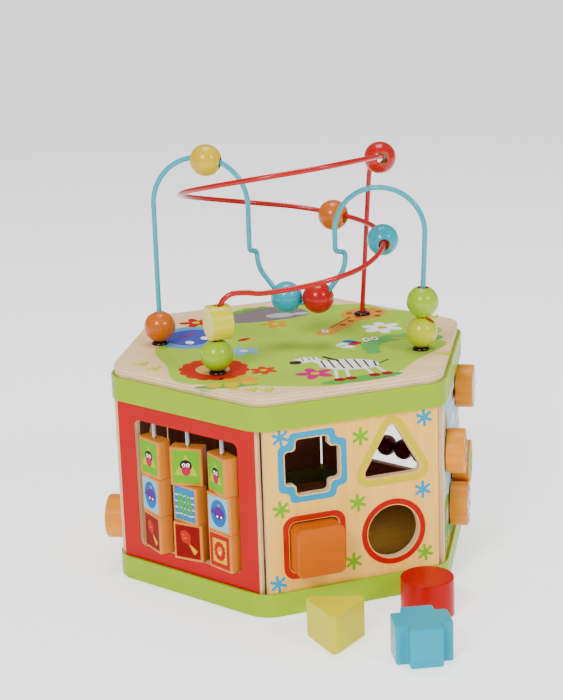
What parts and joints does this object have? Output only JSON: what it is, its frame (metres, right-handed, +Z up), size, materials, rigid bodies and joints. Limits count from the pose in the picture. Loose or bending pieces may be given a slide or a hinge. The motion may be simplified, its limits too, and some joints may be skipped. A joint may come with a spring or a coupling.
{
  "type": "wooden baby activity cube",
  "caption": "Hexagonal wooden activity centre: bead wires on top, turning picture blocks, shape sorter with loose blocks, sliding discs and an abacus round the sides.",
  "frame": {"origin": "centre of the hexagonal underside of the housing, on the table", "axes": "+Z up; the long diagonal of the hexagon, from the edge left of the shape sorter's left neighbour to the opposite edge, is along X; the shape sorter panel faces -Y, the red picture-block window faces the -X -Y side and the disc track panel the +X -Y side"},
  "size_m": [0.3063, 0.3878, 0.3329],
  "materials": {
    "panel_wood": "pale birch plywood, satin, with printed pictures",
    "red_paint": "semi-gloss red paint on plywood",
    "lime_plastic": "translucent lime plastic, glossy",
    "block_wood": "beech with printed pictures, satin",
    "disc_wood": "beech with printed faces, satin",
    "steel": "bright drawn rod",
    "black_plastic": "very dark brown plastic, glossy",
    "cyan_wire": "glossy cyan coating on steel wire",
    "red_wire": "glossy red coating on steel wire",
    "dark_red_lacquer": "dark red lacquer on wood, glossy",
    "orange_lacquer": "orange lacquer on wood, glossy",
    "yellow_lacquer": "yellow lacquer on wood, glossy",
    "red_lacquer": "red lacquer on wood, glossy",
    "cyan_lacquer": "cyan lacquer on wood, glossy",
    "green_lacquer": "green lacquer on wood, glossy",
    "yellow_green_lacquer": "yellow-green lacquer on wood, glossy"
  },
  "bodies": {
    "housing": {"abacus_panel": "red_paint", "abacus_rod_high": "steel", "abacus_rod_low": "steel", "back_panel": "panel_wood", "block_rod_1": "steel", "block_rod_2": "steel", "block_rod_3": "steel", "block_window_panel": "red_paint", "blue_wire": "cyan_wire", "bottom_trim": "lime_plastic", "floor_board": "panel_wood", "grommet_blue_left": "black_plastic", "grommet_blue_right": "black_plastic", "grommet_red_back": "black_plastic", "grommet_red_front": "black_plastic", "red_wire": "red_wire", "slope_panel": "panel_wood", "sorter_panel": "panel_wood", "top_board": "panel_wood", "top_trim": "lime_plastic", "track_panel": "panel_wood"},
    "abacus_bead_high_1": {"abacus_bead_high_1": "dark_red_lacquer"},
    "abacus_bead_high_2": {"abacus_bead_high_2": "dark_red_lacquer"},
    "abacus_bead_high_3": {"abacus_bead_high_3": "dark_red_lacquer"},
    "abacus_bead_high_4": {"abacus_bead_high_4": "dark_red_lacquer"},
    "abacus_bead_low_1": {"abacus_bead_low_1": "dark_red_lacquer"},
    "abacus_bead_low_2": {"abacus_bead_low_2": "dark_red_lacquer"},
    "abacus_bead_low_3": {"abacus_bead_low_3": "dark_red_lacquer"},
    "abacus_bead_low_4": {"abacus_bead_low_4": "dark_red_lacquer"},
    "bead_cyan_coil": {"bead_cyan_coil": "cyan_lacquer"},
    "bead_cyan_dip": {"bead_cyan_dip": "cyan_lacquer"},
    "bead_green_coil": {"bead_green_coil": "green_lacquer"},
    "bead_green_leg": {"bead_green_leg": "green_lacquer"},
    "bead_lime_leg": {"bead_lime_leg": "yellow_green_lacquer"},
    "bead_orange_coil": {"bead_orange_coil": "orange_lacquer"},
    "bead_orange_leg": {"bead_orange_leg": "orange_lacquer"},
    "bead_red_coil": {"bead_red_coil": "red_lacquer"},
    "bead_red_dip": {"bead_red_dip": "red_lacquer"},
    "bead_yellow_arch": {"bead_yellow_arch": "yellow_lacquer"},
    "drum_yellow_coil": {"drum_yellow_coil": "yellow_lacquer"},
    "picture_block_11": {"picture_block_11": "block_wood"},
    "picture_block_12": {"picture_block_12": "block_wood"},
    "picture_block_13": {"picture_block_13": "block_wood"},
    "picture_block_21": {"picture_block_21": "block_wood"},
    "picture_block_22": {"picture_block_22": "block_wood"},
    "picture_block_23": {"picture_block_23": "block_wood"},
    "picture_block_31": {"picture_block_31": "block_wood"},
    "picture_block_32": {"picture_block_32": "block_wood"},
    "picture_block_33": {"picture_block_33": "block_wood"},
    "shape_cross": {"shape_cross": "cyan_lacquer"},
    "shape_round": {"shape_round": "red_lacquer"},
    "shape_square": {"shape_square": "orange_lacquer"},
    "shape_triangle": {"shape_triangle": "yellow_lacquer"},
    "slope_disc": {"slope_disc": "disc_wood"},
    "track_disc_1": {"track_disc_1": "disc_wood"},
    "track_disc_2": {"track_disc_2": "disc_wood"},
    "track_disc_3": {"track_disc_3": "disc_wood"},
    "track_disc_4": {"track_disc_4": "disc_wood"}
  },
  "joints": [
    {"name": "picture_block_11_turn", "type": "hinge", "parent": "housing", "child": "picture_block_11", "pos_m": [-0.12472, -0.03229, 0], "axis": [0, 0, 1], "continuous": true},
    {"name": "picture_block_12_turn", "type": "hinge", "parent": "housing", "child": "picture_block_12", "pos_m": [-0.12472, -0.03229, 0], "axis": [0, 0, 1], "continuous": true},
    {"name": "picture_block_13_turn", "type": "hinge", "parent": "housing", "child": "picture_block_13", "pos_m": [-0.12472, -0.03229, 0], "axis": [0, 0, 1], "continuous": true},
    {"name": "picture_block_21_turn", "type": "hinge", "parent": "housing", "child": "picture_block_21", "pos_m": [-0.10752, -0.06208, 0], "axis": [0, 0, 1], "continuous": true},
    {"name": "picture_block_22_turn", "type": "hinge", "parent": "housing", "child": "picture_block_22", "pos_m": [-0.10752, -0.06208, 0], "axis": [0, 0, 1], "continuous": true},
    {"name": "picture_block_23_turn", "type": "hinge", "parent": "housing", "child": "picture_block_23", "pos_m": [-0.10752, -0.06208, 0], "axis": [0, 0, 1], "continuous": true},
    {"name": "picture_block_31_turn", "type": "hinge", "parent": "housing", "child": "picture_block_31", "pos_m": [-0.09032, -0.09187, 0], "axis": [0, 0, 1], "continuous": true},
    {"name": "picture_block_32_turn", "type": "hinge", "parent": "housing", "child": "picture_block_32", "pos_m": [-0.09032, -0.09187, 0], "axis": [0, 0, 1], "continuous": true},
    {"name": "picture_block_33_turn", "type": "hinge", "parent": "housing", "child": "picture_block_33", "pos_m": [-0.09032, -0.09187, 0], "axis": [0, 0, 1], "continuous": true},
    {"name": "track_disc_1_slide", "type": "slide", "parent": "housing", "child": "track_disc_1", "axis": [-0.5, -0.866, 0], "range_m": [0, 0.03]},
    {"name": "track_disc_2_slide", "type": "slide", "parent": "housing", "child": "track_disc_2", "axis": [0, 0, 1], "range_m": [0, 0.025]},
    {"name": "track_disc_3_slide", "type": "slide", "parent": "housing", "child": "track_disc_3", "axis": [0.5, 0.866, 0], "range_m": [0, 0.042]},
    {"name": "track_disc_4_slide", "type": "slide", "parent": "housing", "child": "track_disc_4", "axis": [-0.5, -0.866, 0], "range_m": [0, 0.028]},
    {"name": "slope_disc_slide", "type": "slide", "parent": "housing", "child": "slope_disc", "axis": [0.3899, 0.6754, 0.6259], "range_m": [0, 0.1]},
    {"name": "shape_square_pull", "type": "slide", "parent": "housing", "child": "shape_square", "axis": [0, -1, 0], "range_m": [0, 0.06]},
    {"name": "shape_triangle_lift", "type": "slide", "parent": "housing", "child": "shape_triangle", "axis": [0, 0, 1], "range_m": [0, 0.1]},
    {"name": "shape_round_lift", "type": "slide", "parent": "housing", "child": "shape_round", "axis": [0, 0, 1], "range_m": [0, 0.1]},
    {"name": "shape_cross_lift", "type": "slide", "parent": "housing", "child": "shape_cross", "axis": [0, 0, 1], "range_m": [0, 0.1]},
    {"name": "bead_orange_leg_slide", "type": "slide", "parent": "housing", "child": "bead_orange_leg", "axis": [0, 0, 1], "range_m": [0, 0.085]},
    {"name": "bead_yellow_arch_turn", "type": "hinge", "parent": "housing", "child": "bead_yellow_arch", "pos_m": [-0.06252, 0.02144, 0.28542], "axis": [0.5159, 0.8566, 0], "range_deg": [-60, 60]},
    {"name": "bead_cyan_dip_turn", "type": "hinge", "parent": "housing", "child": "bead_cyan_dip", "pos_m": [0.00745, -0.01194, 0.23711], "axis": [-0.5159, -0.8566, 0], "range_deg": [-24, 0]},
    {"name": "bead_red_dip_turn", "type": "hinge", "parent": "housing", "child": "bead_red_dip", "pos_m": [0.00664, -0.01145, 0.23711], "axis": [-0.5159, -0.8566, 0], "range_deg": [0, 24]},
    {"name": "bead_lime_leg_slide", "type": "slide", "parent": "housing", "child": "bead_lime_leg", "axis": [0.0387, -0.0233, 0.999], "range_m": [0, 0.018]},
    {"name": "bead_green_leg_slide", "type": "slide", "parent": "bead_lime_leg", "child": "bead_green_leg", "axis": [0.0387, -0.0233, 0.999], "range_m": [0, 0.022]},
    {"name": "bead_red_coil_turn", "type": "hinge", "parent": "housing", "child": "bead_red_coil", "pos_m": [0.0009, -0.00558, 0.31539], "axis": [0.0137, -0.1613, -0.9868], "range_deg": [-5, 50]},
    {"name": "bead_orange_coil_turn", "type": "hinge", "parent": "housing", "child": "bead_orange_coil", "pos_m": [-0.00401, -0.0001, 0.26457], "axis": [-0.0968, 0.0535, -0.9939], "range_deg": [-14, 3]},
    {"name": "bead_cyan_coil_turn", "type": "hinge", "parent": "housing", "child": "bead_cyan_coil", "pos_m": [-0.00704, 0.00315, 0.24627], "axis": [0.1249, 0.1048, -0.9866], "range_deg": [-20, 30]},
    {"name": "bead_green_coil_turn", "type": "hinge", "parent": "housing", "child": "bead_green_coil", "pos_m": [-0.0795, -0.0565, 0.187], "axis": [0, 0, 1], "continuous": true},
    {"name": "drum_yellow_coil_turn", "type": "hinge", "parent": "housing", "child": "drum_yellow_coil", "pos_m": [-0.0773, -0.0571, 0.2125], "axis": [0, 0, 1], "continuous": true},
    {"name": "abacus_bead_low_1_slide", "type": "slide", "parent": "housing", "child": "abacus_bead_low_1", "axis": [-0.5, 0.866, 0], "range_m": [0, 0.022]},
    {"name": "abacus_bead_low_4_slide", "type": "slide", "parent": "housing", "child": "abacus_bead_low_4", "axis": [0.5, -0.866, 0], "range_m": [0, 0.004]},
    {"name": "abacus_bead_low_2_turn", "type": "hinge", "parent": "housing", "child": "abacus_bead_low_2", "pos_m": [0.10752, 0.06208, 0.0506], "axis": [-0.5, 0.866, 0], "continuous": true},
    {"name": "abacus_bead_low_3_turn", "type": "hinge", "parent": "housing", "child": "abacus_bead_low_3", "pos_m": [0.11667, 0.04623, 0.0506], "axis": [-0.5, 0.866, 0], "continuous": true},
    {"name": "abacus_bead_high_1_slide", "type": "slide", "parent": "housing", "child": "abacus_bead_high_1", "axis": [0.5, -0.866, 0], "range_m": [0, 0.0055]},
    {"name": "abacus_bead_high_2_slide", "type": "slide", "parent": "housing", "child": "abacus_bead_high_2", "axis": [0.5, -0.866, 0], "range_m": [0, 0.0055]},
    {"name": "abacus_bead_high_3_slide", "type": "slide", "parent": "housing", "child": "abacus_bead_high_3", "axis": [0.5, -0.866, 0], "range_m": [0, 0.0055]},
    {"name": "abacus_bead_high_4_slide", "type": "slide", "parent": "housing", "child": "abacus_bead_high_4", "axis": [0.5, -0.866, 0], "range_m": [0, 0.0055]}
  ]
}
